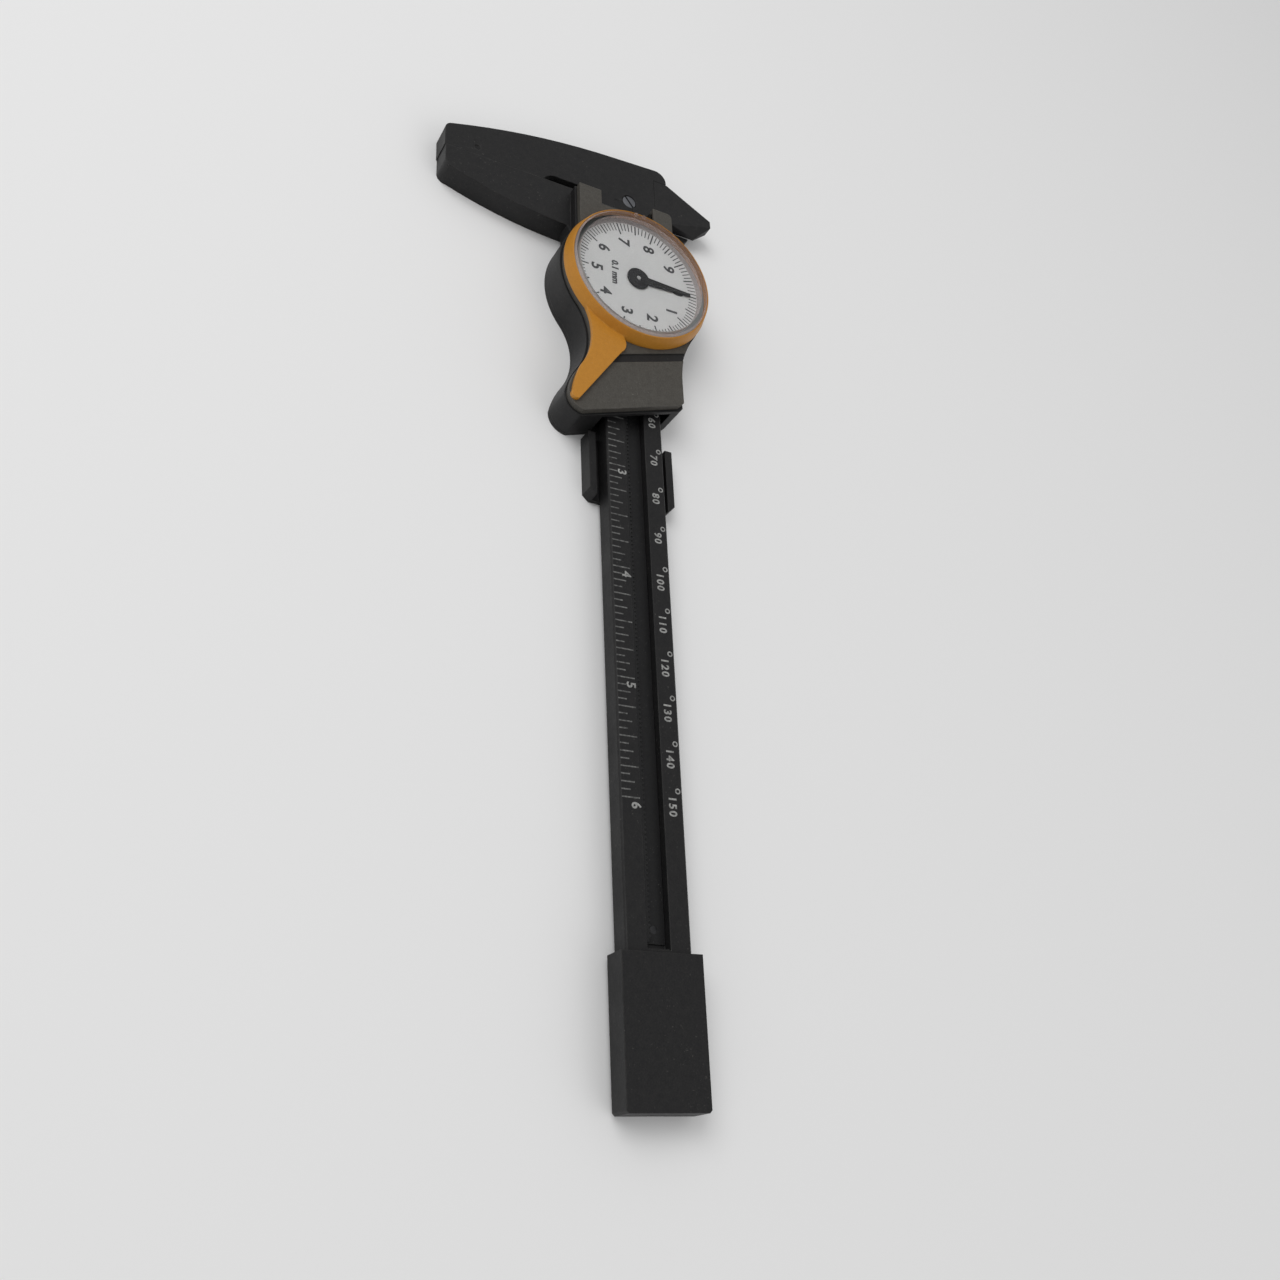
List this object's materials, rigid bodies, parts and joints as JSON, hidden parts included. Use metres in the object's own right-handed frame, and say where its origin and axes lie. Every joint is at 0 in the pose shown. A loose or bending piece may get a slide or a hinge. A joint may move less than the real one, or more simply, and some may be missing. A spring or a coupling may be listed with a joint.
{
  "type": "dial caliper",
  "caption": "Plastic dial caliper: printed beam, head with outside and inside jaws, slider with a rotatable dial, rack drive and depth rod.",
  "frame": {"origin": "where the closed jaws meet on the beam's centre line, on the back plane that the head and the slider rest on", "axes": "+X along the beam from the jaws to the foot, +Y towards the inside jaws, +Z out of the dial"},
  "size_m": [0.2265, 0.0718, 0.0142],
  "materials": {
    "black_plastic": "fine matt texture",
    "grey_plastic": "fine matt texture",
    "yellow_plastic": "satin",
    "white_plastic": "plain",
    "dial_white": "smooth printed",
    "clear_plastic": "clear polished",
    "black_paint": "satin",
    "steel": "turned",
    "spring_steel": "rolled",
    "brass": "satin"
  },
  "bodies": {
    "beam_body": {"beam": "black_plastic", "rack_strip": "black_plastic", "rack_screw": "steel", "rack_rivet": "steel", "end_foot": "black_plastic", "foot_pins": "steel"},
    "slider": {"slider_frame": "black_plastic", "slider_back_plate": "black_plastic", "back_plate_screws": "steel", "slider_cover": "grey_plastic", "bezel_ring": "yellow_plastic", "gib_strip": "white_plastic", "gib_spring": "spring_steel", "depth_rod": "black_plastic", "depth_rod_rivet": "steel", "lower_bush": "brass", "upper_bush": "brass", "movement_bridge": "brass", "bridge_screws": "steel", "take_up_post": "steel", "hairspring": "spring_steel", "hairspring_stud": "brass"},
    "take_up": {"take_up_wheel": "brass"},
    "pointer_staff": {"pinion_staff": "steel", "pointer": "black_paint"},
    "dial": {"dial_face": "dial_white", "crystal": "clear_plastic"}
  },
  "joints": [
    {"name": "slider_slide", "type": "slide", "parent": "beam_body", "child": "slider", "axis": [1, 0, 0], "range_m": [0, 0.15]},
    {"name": "pointer_turn", "type": "hinge", "parent": "slider", "child": "pointer_staff", "pos_m": [0.0265, 0, 0.0112], "axis": [0, 0, 1], "range_deg": [-5401, 0]},
    {"name": "take_up_turn", "type": "hinge", "parent": "slider", "child": "take_up", "pos_m": [0.03558, -0.00295, 0.0087], "axis": [0, 0, 1], "range_deg": [0, 1081]},
    {"name": "dial_turn", "type": "hinge", "parent": "slider", "child": "dial", "pos_m": [0.0265, 0, 0.0112], "axis": [0, 0, 1], "continuous": true}
  ],
  "couplings": [
    {"joint": "pointer_turn", "follows": "slider_slide", "rad_per_m": -628.32},
    {"joint": "take_up_turn", "follows": "slider_slide", "rad_per_m": 125.66}
  ]
}
